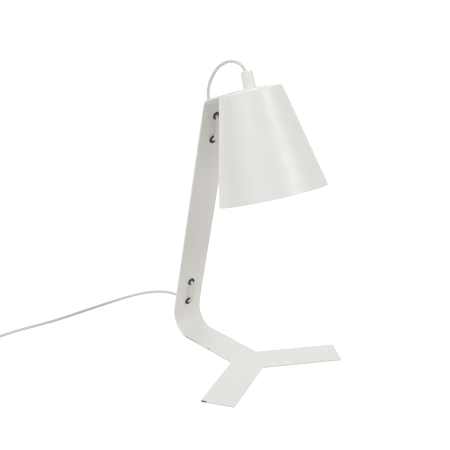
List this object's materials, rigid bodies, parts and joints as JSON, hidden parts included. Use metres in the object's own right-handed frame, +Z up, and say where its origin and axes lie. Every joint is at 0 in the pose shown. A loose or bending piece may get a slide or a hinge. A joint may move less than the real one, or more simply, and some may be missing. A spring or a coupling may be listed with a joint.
{
  "type": "desk lamp",
  "caption": "White desk lamp folded from one steel strip on a Y foot, with a cone shade, a laced flex, an in-line rocker switch and a two-pin plug.",
  "frame": {"origin": "on the table under the hub of the Y foot, at the underside of the foam pad", "axes": "+Z up, +Y from the front of the lamp towards the upright, +X to the right seen from the front"},
  "size_m": [0.5826, 0.5035, 0.4964],
  "materials": {
    "white_paint": "smooth matt powder coat, warm white",
    "black_foam": "matt closed-cell foam",
    "black_rubber": "satin moulded rubber",
    "white_plastic": "satin moulded plastic",
    "gloss_white_plastic": "glossy moulded plastic",
    "flex_sheath": "satin PVC sheath, light grey white",
    "zinc_steel": "zinc plated",
    "brass": "plain",
    "nickel_plate": "nickel plated, satin",
    "opal": "opal white, glossy",
    "black_glass": "glossy black insulator",
    "black_plastic": "satin black",
    "brown_core": "satin brown insulation",
    "blue_core": "satin blue insulation",
    "light_board": "white board with pale diodes"
  },
  "bodies": {
    "lamp": {"stand_plate": "white_paint", "base_pad": "black_foam", "shade": "white_paint", "grommet_1": "black_rubber", "grommet_2": "black_rubber", "grommet_3": "black_rubber", "grommet_4": "black_rubber", "cord_grip": "white_plastic", "grip_screw": "zinc_steel", "threaded_tube": "zinc_steel", "washer": "zinc_steel", "lock_nut": "zinc_steel", "holder_cap": "white_plastic", "holder_body": "white_plastic", "holder_insert": "white_plastic", "screw_shell": "brass", "centre_contact": "brass", "terminal_screws": "brass", "live_wire": "brown_core", "neutral_wire": "blue_core", "cord_laced": "flex_sheath", "cord_free": "flex_sheath", "cord_link": "flex_sheath", "cord_coil": "flex_sheath", "cord_tail": "flex_sheath", "cord_tie": "white_plastic", "switch_base": "gloss_white_plastic", "switch_cover": "gloss_white_plastic", "switch_sleeves": "white_plastic", "switch_screws": "zinc_steel", "switch_contacts": "brass", "switch_blade": "brass", "switch_wires": "brown_core", "plug_body": "white_plastic", "plug_pins": "nickel_plate", "pin_sleeves": "black_plastic", "plug_relief": "white_plastic"},
    "bulb_tip_body": {"bulb_tip": "nickel_plate"},
    "bulb": {"bulb_insulator": "black_glass", "bulb_cap": "nickel_plate", "bulb_housing": "gloss_white_plastic", "bulb_board": "light_board", "bulb_globe": "opal"},
    "rocker": {"switch_rocker": "gloss_white_plastic"}
  },
  "joints": [
    {"name": "bulb_lift", "type": "slide", "parent": "lamp", "child": "bulb_tip_body", "axis": [0, -0.309, -0.9511], "range_m": [0, 0.0142]},
    {"name": "bulb_turn", "type": "hinge", "parent": "bulb_tip_body", "child": "bulb", "pos_m": [0, -0.0116, 0.4543], "axis": [0, -0.309, -0.9511], "range_deg": [0, 1800]},
    {"name": "rocker_tilt", "type": "hinge", "parent": "lamp", "child": "rocker", "pos_m": [-0.342, 0.3495, 0.0126], "axis": [0, 1, 0], "range_deg": [0, 22]}
  ],
  "couplings": [
    {"joint": "bulb_lift", "follows": "bulb_turn", "m_per_rad": 0.00044882}
  ]
}
